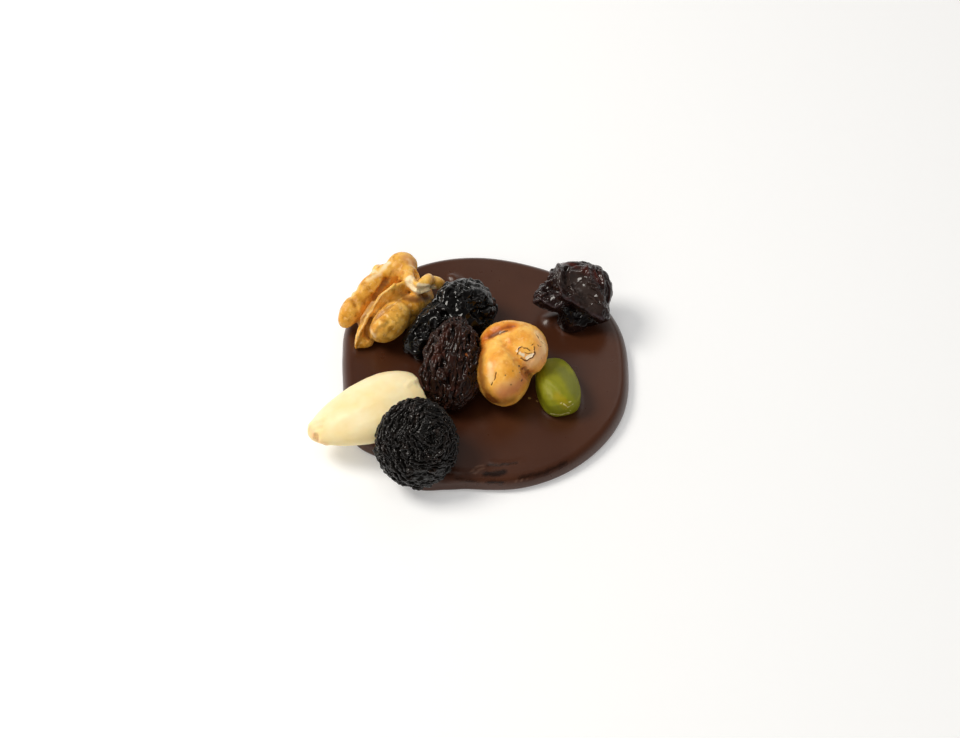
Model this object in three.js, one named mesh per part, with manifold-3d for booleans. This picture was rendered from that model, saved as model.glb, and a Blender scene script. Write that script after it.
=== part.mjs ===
// A mendiant: a round of dark chocolate set with nuts and dried fruit while it was still soft.
// Millimetres, +Z up. The origin is on the flat underside, at the middle of the round.
// The walnut lies at the back left, the almond juts out over the left rim, and -Y is the front.
import * as THREE from "three";
import { mergeVertices } from "three/addons/utils/BufferGeometryUtils.js";
import Module from "manifold-3d";

const wasm = await Module();
wasm.setup();

const degrees = THREE.MathUtils.degToRad;

// ---- driving dimensions -------------------------------------------------------------------

const clearance = 0.3; // between a topping and the pocket or the fruit that it is pressed into

const chocolate = {
  thickness: 3.1,
  edgeRun: 1.7, // how far in from the rim the top starts to fall away
  lipHeight: 0.8, // where the rim is widest
  swell: 0.22, // slow waves left in the top as it set
  sectors: 54,
  rings: 6,
};

// The poured outline: [bearing in degrees from +X, distance from the middle].
const rim = [
  [0, 25.1],
  [22, 25.7],
  [45, 25.7],
  [72, 25.3],
  [97, 25.9],
  [118, 26.5],
  [140, 26.9],
  [158, 26.8],
  [173, 25.5],
  [188, 25.2],
  [204, 26.6],
  [216, 27.2],
  [229, 25.7],
  [244, 27.6],
  [255, 26.0],
  [264, 25.1],
  [285, 25.5],
  [315, 25.6],
  [338, 25.6],
];

const almond = {
  at: [-19.8, -13.2, 6.8],
  turn: [-8, -6, 22], // roll, pitch and heading in degrees: the broad end is up on the round
  length: 22.4,
  width: 15.1,
  height: 9.9,
  blunt: 0.86, // how far towards the broad end the kernel runs on before it is flattened off
  tipLength: 2.4, // the small root that shows at the point
  tipWidth: 3.2,
  tipInset: 1.5, // from the point back to the middle of the root
};

const pistachio = {
  at: [12.3, -6.3, 5.0],
  turn: [0, 4, 103],
  length: 11.6,
  width: 7.7,
  height: 6.4,
};

const hazelnut = {
  at: [3.2, -5.5, 8.1],
  middle: [1.6, 2.6, 0.4],
  softness: 0.45, // how far the grooves between the lobes have filled
  lobes: [
    { at: [-0.2, -0.1, -0.1], size: [9.6, 12.2, 11.0] },
    { at: [3.8, 3.6, 1.5], size: [7.4, 9.4, 7.4] },
    { at: [0.7, 5.4, 1.1], size: [10.2, 7.4, 8.6] }, // the shoulder that still joins the two halves
  ],
};

// Each lobe of the walnut follows its own bent line, given from the middle of its foot.
const walnut = {
  at: [-17.2, 10.2, 3.0],
  lobes: [
    { along: [[3.6, 8.9, 5.2], [2.4, 8.0, 5.3], [0.8, 6.9, 4.9]], width: 5.6, height: 5.0 },
    { along: [[1.4, 7.2, 4.8], [-1.2, 5.6, 4.7], [-2.8, 4.2, 4.4]], width: 4.4, height: 5.0 },
    { along: [[-1.2, 5.0, 5.0], [-3.0, 3.2, 5.0], [-4.6, 1.2, 4.6]], width: 4.2, height: 4.8 },
    { along: [[-4.6, 1.8, 4.3], [-6.3, -0.6, 3.8], [-7.7, -2.8, 2.4]], width: 4.0, height: 4.6 },
    { along: [[2.6, 7.0, 5.2], [3.6, 5.4, 5.8], [4.6, 4.0, 5.8]], width: 3.4, height: 4.0 },
    {
      along: [[4.6, 4.0, 5.6], [1.0, 0.9, 5.7], [-1.8, -1.1, 4.8], [-3.7, -3.0, 3.2], [-5.6, -7.2, 0.8]],
      width: 1.9,
      height: 5.8,
    },
    {
      along: [[3.6, 3.0, 4.0], [1.0, 0.3, 4.2], [-1.6, -1.9, 3.2], [-3.8, -4.8, 1.6]],
      width: 2.8,
      height: 4.4,
    },
    {
      along: [[3.4, 4.6, 6.4], [4.6, 2.2, 7.0], [6.4, 2.2, 6.8], [7.2, 4.2, 6.6]],
      width: 3.2,
      height: 3.4,
    },
    { along: [[6.6, 4.1, 5.8], [8.4, 4.4, 4.9], [9.6, 4.6, 4.3]], width: 2.6, height: 2.6 },
    { along: [[-1.5, -6.3, 3.7], [0.4, -4.5, 4.5], [2.4, -1.9, 4.8]], width: 5.8, height: 6.3 },
    { along: [[-4.8, -6.7, 0.9], [-3.2, -5.9, 1.3], [-1.2, -5.2, 1.6]], width: 2.0, height: 2.2 },
    { along: [[2.6, -0.6, 4.7], [4.2, -0.2, 4.4], [5.6, 0.6, 3.4]], width: 4.0, height: 4.0 },
    { along: [[-2.4, 7.2, 4.6], [-1.6, 7.8, 4.9]], width: 2.2, height: 2.4 },
    { along: [[-3.6, -3.2, 1.2], [0.6, 0.6, 1.8], [6.4, 4.4, 2.0]], width: 9.4, height: 6.0 },
  ],
};

const blackRaisin = {
  at: [-6.3, 6.0, 7.3],
  turn: [0, 0, 44],
  middle: [-0.4, 0.5, 0],
  softness: 0.6,
  folds: 9,
  depth: 0.8,
  lobes: [
    { at: [3.6, 0.2, 0.5], size: [12.0, 11.0, 10.2] }, // the broad end at the back
    { at: [-2.0, 0.4, -0.2], size: [8.4, 8.4, 9.4] },
    { at: [-5.6, 1.3, -1.6], size: [6.8, 6.4, 7.0] },
  ],
};

const brownRaisin = {
  at: [-5.8, -3.9, 8.6],
  turn: [0, -24, 84],
  size: [16.4, 10.4, 8.4],
  bend: 0,
  taper: -0.16,
  folds: 11,
  depth: 0.7,
};

const roundRaisin = {
  at: [-11.8, -20.4, 7.6],
  turn: [38, 0, 0], // leans back on the almond
  size: [13.9, 14.8, 9.8],
  bend: 0,
  taper: 0,
  folds: 3,
  depth: 0.45,
};

const driedCherry = {
  at: [15.2, 11.4, 7.6],
  turn: [0, 0, 0],
  middle: [0.8, 0.1, 0],
  softness: 0.4,
  depth: 0.8,
  folds: 5,
  lobes: [
    { at: [1.7, 0.9, 1.0], size: [11.2, 11.4, 7.6] }, // the broad cap
    { at: [-3.5, -0.3, 0.3], size: [7.2, 6.2, 4.6] }, // its left flap
    { at: [-1.2, 3.6, 1.9], size: [6.4, 6.0, 4.8] },
    { at: [4.4, -2.5, -1.0], size: [5.2, 5.6, 5.4] },
    { at: [0.4, -2.2, -2.9], size: [6.4, 6.0, 6.2] }, // the foot that stands in the chocolate
  ],
};

// ---- shapes -------------------------------------------------------------------------------

// Moves every vertex of a geometry, one at a time, to where `reshape` puts it.
function reshaped(geometry, reshape) {
  const place = geometry.getAttribute("position");
  const vertex = new THREE.Vector3();
  for (let i = 0; i < place.count; i++) {
    vertex.fromBufferAttribute(place, i);
    reshape(vertex);
    place.setXYZ(i, vertex.x, vertex.y, vertex.z);
  }
  return geometry;
}

function solidOf(geometry) {
  const bare = geometry.clone();
  bare.deleteAttribute("normal");
  bare.deleteAttribute("uv");
  const merged = mergeVertices(bare, 1e-4);
  return new wasm.Manifold(
    new wasm.Mesh({
      numProp: 3,
      vertProperties: merged.getAttribute("position").array,
      triVerts: new Uint32Array(merged.index.array),
    }),
  );
}

function geometryOf(solid) {
  const { vertProperties, triVerts } = solid.getMesh();
  const geometry = new THREE.BufferGeometry();
  geometry.setAttribute("position", new THREE.BufferAttribute(vertProperties, 3));
  geometry.setIndex(new THREE.BufferAttribute(triVerts, 1));
  geometry.computeVertexNormals();
  return geometry;
}

// Distance from the middle to the rim at a bearing, eased through the poured outline.
function rimRadius(bearing) {
  const turn = 360;
  const angle = ((bearing % turn) + turn) % turn;
  const count = rim.length;
  let last = count - 1;
  while (last > 0 && rim[last][0] > angle) last -= 1;
  const point = (i) => {
    const wrapped = ((i % count) + count) % count;
    return [rim[wrapped][0] + turn * Math.floor(i / count), rim[wrapped][1]];
  };
  const [a, b, c, d] = [last - 1, last, last + 1, last + 2].map(point);
  const share = (angle - b[0]) / (c[0] - b[0]);
  const slopeIn = ((c[1] - a[1]) / (c[0] - a[0])) * (c[0] - b[0]);
  const slopeOut = ((d[1] - b[1]) / (d[0] - b[0])) * (c[0] - b[0]);
  return (
    (2 * share ** 3 - 3 * share ** 2 + 1) * b[1] +
    (share ** 3 - 2 * share ** 2 + share) * slopeIn +
    (3 * share ** 2 - 2 * share ** 3) * c[1] +
    (share ** 3 - share ** 2) * slopeOut
  );
}

// The round: a turned profile with a flat foot and a full soft edge, pushed out to the poured rim.
function pouredRound({ thickness, edgeRun, lipHeight, swell, sectors, rings }) {
  const reach = 25;
  const profile = [new THREE.Vector2(0, 0), new THREE.Vector2(reach - 0.5, 0)];
  for (const angle of [-50, -10, 20, 45, 68]) {
    const rise = angle < 0 ? lipHeight : thickness - lipHeight;
    profile.push(
      new THREE.Vector2(
        reach - edgeRun * (1 - Math.cos(degrees(angle))),
        lipHeight + rise * Math.sin(degrees(angle)),
      ),
    );
  }
  for (let ring = rings; ring >= 0; ring--) {
    profile.push(new THREE.Vector2(((reach - edgeRun) * ring) / rings, thickness));
  }
  const turned = new THREE.LatheGeometry(profile, sectors);
  turned.rotateX(degrees(90));
  return reshaped(turned, (v) => {
    const bearing = THREE.MathUtils.radToDeg(Math.atan2(v.y, v.x));
    const push = Math.hypot(v.x, v.y) > 0 ? rimRadius(bearing) / reach : 1;
    v.x *= push;
    v.y *= push;
    if (v.z > lipHeight) {
      const wave = Math.sin(v.x / 6.5 + 0.6) * Math.cos(v.y / 7.5 - 0.4);
      v.z += swell * wave * (v.z / thickness);
    }
  });
}

// A blanched almond: blunt at one end, drawn to a point at the other, and flatter than it is wide.
function almondKernel({ length, width, height, blunt, tipLength, tipWidth, tipInset }, grow = 0) {
  const body = reshaped(new THREE.SphereGeometry(1, 26, 18), (v) => {
    const along = v.y; // -1 at the point, 1 at the broad end
    const girth = Math.hypot(v.x, v.z);
    const fill = girth > 0 ? girth ** 0.92 / girth : 0;
    const narrowing = 1 - 0.42 * ((1 - along) / 2) ** 1.5;
    const across = -v.x * fill * narrowing * (width / 2 + grow);
    const up = v.z * fill * narrowing * (height / 2 + grow);
    v.set(Math.min(along, blunt) * (length / 2 + grow), across, up);
  });
  const root = reshaped(new THREE.SphereGeometry(1, 12, 8), (v) => {
    v.set(
      tipInset - length / 2 + v.y * (tipLength / 2 + grow),
      tipWidth / 4 - v.x * (tipWidth / 2 + grow),
      v.z * (tipWidth / 2 + grow),
    );
  });
  return geometryOf(solidOf(body).add(solidOf(root)));
}

// A peeled pistachio: a blunt kernel, slightly squared across, that narrows a little to its far end.
function pistachioKernel({ length, width, height }, grow = 0) {
  return reshaped(new THREE.SphereGeometry(1, 24, 16), (v) => {
    const along = v.x;
    const girth = Math.hypot(v.y, v.z);
    const fill = girth > 0 ? girth ** 0.62 / girth : 0;
    const around = Math.atan2(v.z, v.y);
    const squared = 1 - 0.07 * Math.cos(4 * around);
    const narrowing = (1 - 0.1 * along) * squared * fill;
    v.set(
      along * (length / 2 + grow),
      v.y * narrowing * (width / 2 + grow),
      v.z * narrowing * (height / 2 + grow),
    );
  });
}

// A body of several lobes that have grown together, such as the two slipped halves of the hazelnut.
// Each corner of a ball is moved out from the middle until it leaves the lobes, less what `folding` sinks.
function lobedBody({ middle, softness, lobes, depth = 0 }, facets, grow = 0, folding = null) {
  const heart = new THREE.Vector3(...middle);
  const depthInside = (point) => {
    const shares = lobes.map(({ at, size }) => {
      const reach = new THREE.Vector3(...size).multiplyScalar(0.5);
      const way = point.clone().sub(new THREE.Vector3(...at)).divide(reach).length() - 1;
      return Math.exp((-way * Math.min(...reach.toArray())) / softness);
    });
    return softness * Math.log(shares.reduce((sum, share) => sum + share));
  };
  return reshaped(new THREE.IcosahedronGeometry(1, facets), (v) => {
    let [inner, outer] = [0, 20];
    while (outer - inner > 0.001) {
      const tried = (inner + outer) / 2;
      if (depthInside(v.clone().multiplyScalar(tried).add(heart)) > -grow) inner = tried;
      else outer = tried;
    }
    const sink = folding ? depth * (1 - folding(v)) : 0;
    v.multiplyScalar(inner - sink).add(heart);
  });
}

// A rounded lobe: a sphere drawn out along a bent line, with `width` across and `height` up.
function lobe({ along, width, height }, grow = 0) {
  const spine = new THREE.CatmullRomCurve3(along.map((point) => new THREE.Vector3(...point)));
  const up = new THREE.Vector3(0, 0, 1);
  return reshaped(new THREE.SphereGeometry(1, 11, 8), (v) => {
    const share = (1 + v.y) / 2;
    const middle = spine.getPointAt(share);
    const ahead = spine.getTangentAt(share);
    const aside = new THREE.Vector3().crossVectors(ahead, up).normalize();
    const over = new THREE.Vector3().crossVectors(aside, ahead);
    const overrun = v.y * (Math.min(width, height) / 4 + grow);
    const [across, rise] = [v.x * (width / 2 + grow), v.z * (height / 2 + grow)];
    v.copy(middle)
      .addScaledVector(ahead, overrun)
      .addScaledVector(aside, across)
      .addScaledVector(over, rise);
  });
}

// A piece of walnut: its lobes, its thin inner wall and its foot, grown together.
function walnutPiece({ lobes }, grow = 0) {
  const grown = lobes.map((one) => solidOf(lobe(one, grow)));
  return geometryOf(grown.reduce((whole, one) => whole.add(one)));
}

// How a skin folds as it dries, from 0 in a crease to 1 on a fold, for a direction from the middle.
const foldsAlong = (count) => (v) => {
  const around = Math.atan2(v.z, v.y);
  const meander = 0.5 * Math.sin(3.4 * v.x + 2 * around) + 0.25 * Math.sin(7.1 * v.x - around);
  return Math.abs(Math.sin((count / 2) * (around + meander)));
};

const foldsRound = (count) => (v) => {
  const around = Math.atan2(v.y, v.x);
  const fromPole = Math.acos(THREE.MathUtils.clamp(v.z, -1, 1));
  return Math.abs(Math.sin(count * fromPole + around / 2 + 0.3 * Math.sin(3 * around)));
};

const foldsCrumpled = (count) => (v) => {
  const bent = v.x + 0.35 * Math.sin(2.6 * v.y + 1.1) + 0.2 * Math.sin(4.7 * v.z);
  const crossed = v.y + 0.35 * Math.sin(2.2 * v.x - 0.7) + 0.25 * Math.sin(3.9 * v.z + 2);
  return Math.abs(Math.sin((count * bent) / 2 + Math.sin(count * crossed * 0.6)));
};

// A dried fruit: an egg shape whose skin has sunk between its folds. `facets` sets how fine it is.
function driedFruit({ size, bend, taper, depth }, folding, facets = 7, grow = 0) {
  const [a, b, c] = size.map((extent) => extent / 2 + grow);
  return reshaped(new THREE.IcosahedronGeometry(1, facets), (v) => {
    const sink = folding ? depth * (1 - folding(v)) * Math.sqrt(1 - 0.8 * v.x ** 4) : 0;
    const girth = 1 + taper * v.x;
    const place = new THREE.Vector3(v.x * a, v.y * b * girth, v.z * c * girth);
    const inward = v.clone().multiplyScalar(sink);
    place.sub(inward);
    place.y += bend * (v.x ** 2 - 0.5);
    v.copy(place);
  });
}

// ---- putting it together ------------------------------------------------------------------

function placing({ at, turn = [0, 0, 0] }) {
  const turned = new THREE.Euler(...turn.map(degrees), "ZYX");
  return new THREE.Matrix4().makeRotationFromEuler(turned).setPosition(...at);
}

function topping(name, geometry, piece, finish) {
  const mesh = new THREE.Mesh(geometry, new THREE.MeshStandardMaterial({ metalness: 0, ...finish }));
  mesh.name = name;
  mesh.position.set(...piece.at);
  mesh.rotation.set(...(piece.turn ?? [0, 0, 0]).map(degrees), "ZYX");
  return mesh;
}

// The space that a topping takes up, its clearance included, in the part's own frame.
const spaceOf = (geometry, piece) => solidOf(geometry.clone().applyMatrix4(placing(piece)));

const spaces = {
  almond: spaceOf(almondKernel(almond, clearance), almond),
  pistachio: spaceOf(pistachioKernel(pistachio, clearance), pistachio),
  hazelnut: spaceOf(lobedBody(hazelnut, 6, clearance), hazelnut),
  walnut: spaceOf(walnutPiece(walnut, clearance), walnut),
  blackRaisin: spaceOf(lobedBody(blackRaisin, 5, clearance), blackRaisin),
  brownRaisin: spaceOf(driedFruit(brownRaisin, null, 4, clearance), brownRaisin),
  roundRaisin: spaceOf(driedFruit(roundRaisin, null, 4, clearance), roundRaisin),
  driedCherry: spaceOf(lobedBody(driedCherry, 5, clearance), driedCherry),
};

// Soft fruit gives way where a nut or another fruit presses on it.
function pressed(geometry, piece, ...presses) {
  const toOwnFrame = placing(piece).invert().toArray();
  const dented = presses.reduce(
    (left, press) => left.subtract(press.transform(toOwnFrame)),
    solidOf(geometry),
  );
  return geometryOf(dented);
}

// Cutting the pockets can leave a loose scrap between two of them, which is dropped.
const roundWithPockets = Object.values(spaces)
  .reduce((left, space) => left.subtract(space), solidOf(pouredRound(chocolate)))
  .decompose()
  .reduce((largest, one) => (one.volume() > largest.volume() ? one : largest));

const mendiant = new THREE.Group();
mendiant.name = "mendiant";

mendiant.add(
  topping("chocolate_disc", geometryOf(roundWithPockets), { at: [0, 0, 0] }, {
    color: "#4a3027",
    roughness: 0.35,
  }),
  topping("almond", almondKernel(almond), almond, { color: "#f6e3b0", roughness: 0.5 }),
  topping("pistachio", pistachioKernel(pistachio), pistachio, {
    color: "#7d7c1c",
    roughness: 0.4,
  }),
  topping("hazelnut", lobedBody(hazelnut, 6), hazelnut, { color: "#dea050", roughness: 0.4 }),
  topping("walnut", walnutPiece(walnut), walnut, { color: "#d79b48", roughness: 0.45 }),
  topping(
    "raisin_black",
    pressed(
      lobedBody(blackRaisin, 7, 0, foldsAlong(blackRaisin.folds)),
      blackRaisin,
      spaces.walnut,
      spaces.brownRaisin,
      spaces.hazelnut,
    ),
    blackRaisin,
    { color: "#231d1a", roughness: 0.35 },
  ),
  topping(
    "raisin_brown",
    pressed(
      driedFruit(brownRaisin, foldsAlong(brownRaisin.folds)),
      brownRaisin,
      spaces.hazelnut,
      spaces.almond,
    ),
    brownRaisin,
    { color: "#2b1c17", roughness: 0.4 },
  ),
  topping(
    "raisin_round",
    pressed(
      driedFruit(roundRaisin, foldsRound(roundRaisin.folds)),
      roundRaisin,
      spaces.almond,
      spaces.brownRaisin,
    ),
    roundRaisin,
    { color: "#211d1a", roughness: 0.4 },
  ),
  topping(
    "dried_cherry",
    lobedBody(driedCherry, 7, 0, foldsCrumpled(driedCherry.folds)),
    driedCherry,
    { color: "#3d302d", roughness: 0.25 },
  ),
);

export default mendiant;
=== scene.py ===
import math

import bpy
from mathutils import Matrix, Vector


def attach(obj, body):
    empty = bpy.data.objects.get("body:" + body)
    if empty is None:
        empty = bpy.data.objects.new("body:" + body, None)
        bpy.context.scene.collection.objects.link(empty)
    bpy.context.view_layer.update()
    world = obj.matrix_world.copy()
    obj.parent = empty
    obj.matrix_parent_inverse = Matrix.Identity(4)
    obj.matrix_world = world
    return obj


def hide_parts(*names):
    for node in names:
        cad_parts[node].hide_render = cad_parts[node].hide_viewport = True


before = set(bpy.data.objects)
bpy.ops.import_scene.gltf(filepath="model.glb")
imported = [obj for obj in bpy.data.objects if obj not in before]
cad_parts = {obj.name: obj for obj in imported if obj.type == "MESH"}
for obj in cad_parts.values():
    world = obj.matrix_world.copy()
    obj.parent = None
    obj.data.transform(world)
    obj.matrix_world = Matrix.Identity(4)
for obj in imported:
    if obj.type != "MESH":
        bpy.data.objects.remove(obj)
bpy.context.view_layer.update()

mm = 0.001
photoWidth, photoHeight = 960, 738


# nodes, materials and modifiers

def linear(code):  # sRGB hex to a linear colour
    parts = [int(code[i:i + 2], 16) / 255 for i in (1, 3, 5)]
    return [p / 12.92 if p <= 0.04045 else ((p + 0.055) / 1.055) ** 2.4 for p in parts] + [1.0]


def socketOf(node, key):
    # an input that is in use, by its name or its number
    shown = [s for s in node.inputs if s.enabled]
    return shown[key] if isinstance(key, int) else next(s for s in shown if s.name == key)


def setOn(node, settings):
    # a setting that isn't one of the node's own goes to the socket of that name or number
    for name, value in settings.items():
        if isinstance(name, str) and hasattr(node, name):
            setattr(node, name, value)
        else:
            socketOf(node, name).default_value = value


def feed(tree, node, key, source):
    # links an input to another node's output, by itself the first one in use
    if isinstance(source, bpy.types.Node):
        source = next(s for s in source.outputs if s.enabled)
    tree.links.new(source, socketOf(node, key))


def addNode(tree, kind, settings=None, links=None):
    node = tree.nodes.new(kind)
    setOn(node, settings or {})
    for key, source in (links or {}).items():
        feed(tree, node, key, source)
    return node


def blended(tree, share, first, second):
    # one tone where the share is zero, the other where it is one
    return addNode(tree, "ShaderNodeMix", {"data_type": "RGBA", "A": linear(first), "B": linear(second)},
                   {"Factor": share})


def newMaterial(name):
    # a material with its shader and the place on the object in mm
    material = bpy.data.materials.new(name)
    material.use_nodes = True
    tree = material.node_tree
    tree.nodes.clear()
    shader = addNode(tree, "ShaderNodeBsdfPrincipled")
    addNode(tree, "ShaderNodeOutputMaterial", links={"Surface": shader})
    place = addNode(tree, "ShaderNodeMapping", {"Scale": (1 / mm,) * 3},
                    {"Vector": addNode(tree, "ShaderNodeTexCoord").outputs["Object"]})
    return material, tree, shader, place


def deselect():
    for other in bpy.context.selected_objects:
        other.select_set(False)


def selectOnly(piece):
    deselect()
    piece.select_set(True)
    bpy.context.view_layer.objects.active = piece


def applied(piece, kind, settings):
    # adds a modifier with its settings and applies it
    modifier = piece.modifiers.new(kind.lower(), kind)
    for name, value in settings.items():
        setattr(modifier, name, value)
    selectOnly(piece)
    bpy.ops.object.modifier_apply(modifier=modifier.name)


def cleaned(piece):
    # closes the seams of loose triangles and turns every face outwards
    selectOnly(piece)
    bpy.ops.object.mode_set(mode="EDIT")
    bpy.ops.mesh.select_all(action="SELECT")
    bpy.ops.mesh.remove_doubles(threshold=0.002 * mm)
    bpy.ops.mesh.normals_make_consistent(inside=False)
    bpy.ops.mesh.select_all(action="DESELECT")
    bpy.ops.object.mode_set(mode="OBJECT")


# camera, light and floor

view = {
    "lens": 85,
    "sensor": 36,
    "elevation": 52,
    "distance": 398,
    "target": (-1.0, 0.2, 1.5),
}

lamps = [
    # name, where and size in mm, watts, colour, whether skins mirror it
    ("windowLamp", (-325, 60, 430), 240, 2.15, "#fffaf2", True),
    ("overheadPanel", (-40, -60, 570), 400, 0.55, "#ffffff", False),
    ("backPanel", (170, 400, 400), 280, 0.2, "#fffaf5", True),
    ("frontFill", (-80, -420, 230), 360, 0.4, "#fffaf0", False),
]

paper = {
    "side": 4,                        # in m, so its edge is never seen
    "tones": ("#dfe0e1", "#e3e4e5"),
    "fibre": 0.8,                     # flecks per mm
    "glow": 0.28,                     # it is lit from below too
}

room = {
    "behind": 1.0,                    # brightness low down, beyond the object
    "infront": 0.4,                   # and before it
    "overhead": 0.2,                  # share of it left high up
    "fadeFrom": 0.05,                 # height of a direction where the room starts to dim
    "fadeTo": 0.55,
    "turn": 0.8,                      # how far round the room goes from one brightness to the other
}


def cameraAxes():
    # the directions from the object to the camera and upwards in its picture
    tilt = math.radians(view["elevation"])
    return Vector((0, -math.cos(tilt), math.sin(tilt))), Vector((0, math.sin(tilt), math.cos(tilt)))


def cameraPlace():
    away, up = cameraAxes()
    return (Vector(view["target"]) + away * view["distance"]) * mm


def setCamera():
    lens = bpy.data.cameras.new("photoCamera")
    lens.lens = view["lens"]
    lens.sensor_width = view["sensor"]
    lens.sensor_fit = "HORIZONTAL"
    lens.clip_start = 10 * mm
    camera = bpy.data.objects.new("photoCamera", lens)
    camera.location = cameraPlace()
    camera.rotation_euler = (math.radians(90 - view["elevation"]), 0, 0)
    bpy.context.scene.collection.objects.link(camera)
    bpy.context.scene.camera = camera


def setLamps():
    for name, where, size, watts, colour, mirrored in lamps:
        light = bpy.data.lights.new(name, "AREA")
        light.shape = "DISK"
        light.size = size * mm
        light.energy = watts
        light.color = linear(colour)[:3]
        lamp = bpy.data.objects.new(name, light)
        lamp.location = Vector(where) * mm
        lamp.rotation_euler = (-lamp.location).to_track_quat("-Z", "Y").to_euler()
        lamp.visible_glossy = mirrored
        bpy.context.scene.collection.objects.link(lamp)


def setFloor():
    # seamless white studio paper: flat and matt
    deselect()
    bpy.ops.mesh.primitive_plane_add(size=paper["side"], location=(0, 0, 0))
    floor = bpy.context.object
    floor.name = "studioPaper"
    material, tree, shader, place = newMaterial("studioPaper")
    fibre = addNode(tree, "ShaderNodeTexNoise", {"Scale": paper["fibre"], "Detail": 3}, {"Vector": place})
    feed(tree, shader, "Base Color", blended(tree, fibre, *paper["tones"]))
    setOn(shader, {"Roughness": 0.85, "Specular IOR Level": 0.2, "Emission Color": linear("#ffffff"),
                   "Emission Strength": paper["glow"]})
    floor.data.materials.append(material)


def setWorld():
    world = bpy.data.worlds.new("studioLight")
    bpy.context.scene.world = world
    world.use_nodes = True
    tree = world.node_tree
    tree.nodes.clear()
    apart = addNode(tree, "ShaderNodeSeparateXYZ",
                    links={0: addNode(tree, "ShaderNodeTexCoord").outputs["Generated"]})
    level = addNode(tree, "ShaderNodeMapRange",
                    {"From Min": -room["turn"], "From Max": room["turn"],
                     "To Min": room["infront"], "To Max": room["behind"]}, {"Value": apart.outputs["Y"]})
    fall = addNode(tree, "ShaderNodeMapRange",
                   {"From Min": room["fadeFrom"], "From Max": room["fadeTo"],
                    "To Min": 1, "To Max": room["overhead"]}, {"Value": apart.outputs["Z"]})
    strength = addNode(tree, "ShaderNodeMath", {"operation": "MULTIPLY"}, {0: level, 1: fall})
    glow = addNode(tree, "ShaderNodeBackground", {"Color": linear("#fffefc")}, {"Strength": strength})
    addNode(tree, "ShaderNodeOutputWorld", links={"Surface": glow})
    bpy.context.scene.view_settings.view_transform = "Standard"


setCamera()
setLamps()
setFloor()
setWorld()
print("camera, light and floor are set")


# paths over the photograph, laid on the pieces

guideStep = 2       # pixels between the points of a path
strokeWaves = 0.9   # waves per mm of the unevenness of a stroke


def pixelRay(pixel):
    # the camera's place, and the direction in which it sees a pixel of the photograph
    away, up = cameraAxes()
    focal = view["lens"] / view["sensor"] * photoWidth
    across, down = (pixel[0] - photoWidth / 2) / focal, (pixel[1] - photoHeight / 2) / focal
    return cameraPlace(), (Vector((across, 0, 0)) - up * down - away).normalized()


def seenPoint(piece, pixel):
    # the point of a piece seen at a pixel, or, past its outline, the nearest one
    eye, ray = pixelRay(pixel)
    hit, where = piece.ray_cast(eye, ray)[:2]
    if not hit:
        middle = sum((Vector(corner) for corner in piece.bound_box), Vector()) / 8
        hit, where = piece.closest_point_on_mesh(eye + ray * (middle - eye).dot(ray))[:2]
    return where


def guideLine(piece, name, pixels):
    # a curve laid on a piece along a path of pixels, close enough to follow its skin
    course = []
    for start, end in zip(pixels, pixels[1:] or pixels):
        steps = max(1, round(math.dist(start, end) / guideStep))
        course += [seenPoint(piece, Vector(start).lerp(Vector(end), n / steps)) for n in range(steps)]
    course.append(seenPoint(piece, pixels[-1]))
    line = bpy.data.curves.new(name, "CURVE")
    line.dimensions = "3D"
    spline = line.splines.new("POLY")
    spline.points.add(len(course) - 1)
    for point, where in zip(spline.points, course):
        point.co = (*where, 1)
    guide = bpy.data.objects.new(name, line)
    bpy.context.scene.collection.objects.link(guide)
    return guide


# relief: geometry nodes that shape a piece and are applied

def reliefTree(name):
    # an empty geometry node tree, with its way in and its position in mm
    tree = bpy.data.node_groups.new(name, "GeometryNodeTree")
    for way in ("INPUT", "OUTPUT"):
        tree.interface.new_socket("Geometry", in_out=way, socket_type="NodeSocketGeometry")
    geometry = addNode(tree, "NodeGroupInput")
    place = addNode(tree, "ShaderNodeVectorMath", {"operation": "SCALE", "Scale": 1 / mm},
                    {0: addNode(tree, "GeometryNodeInputPosition")})
    return tree, geometry, place


def shapedBy(piece, tree, geometry):
    # closes the tree, lets it shape the piece and applies it
    addNode(tree, "NodeGroupOutput", links={0: geometry})
    applied(piece, "NODES", {"node_group": tree})


def movedBy(piece, tree, geometry, offset):
    # moves each point by an offset in m
    moved = addNode(tree, "GeometryNodeSetPosition", links={"Geometry": geometry, "Offset": offset})
    shapedBy(piece, tree, moved)


def raisedBy(piece, tree, geometry, normal, height):
    # moves the skin out along its normal by a height in m
    push = addNode(tree, "ShaderNodeVectorMath", {"operation": "SCALE"}, {0: normal, "Scale": height})
    movedBy(piece, tree, geometry, push)


def kept(tree, geometry, name, value):
    # the geometry with a value of each point kept under a name, for the colours
    return addNode(tree, "GeometryNodeStoreNamedAttribute",
                   {"data_type": "FLOAT", "domain": "POINT", "Name": name},
                   {"Geometry": geometry, "Value": value})


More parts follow.
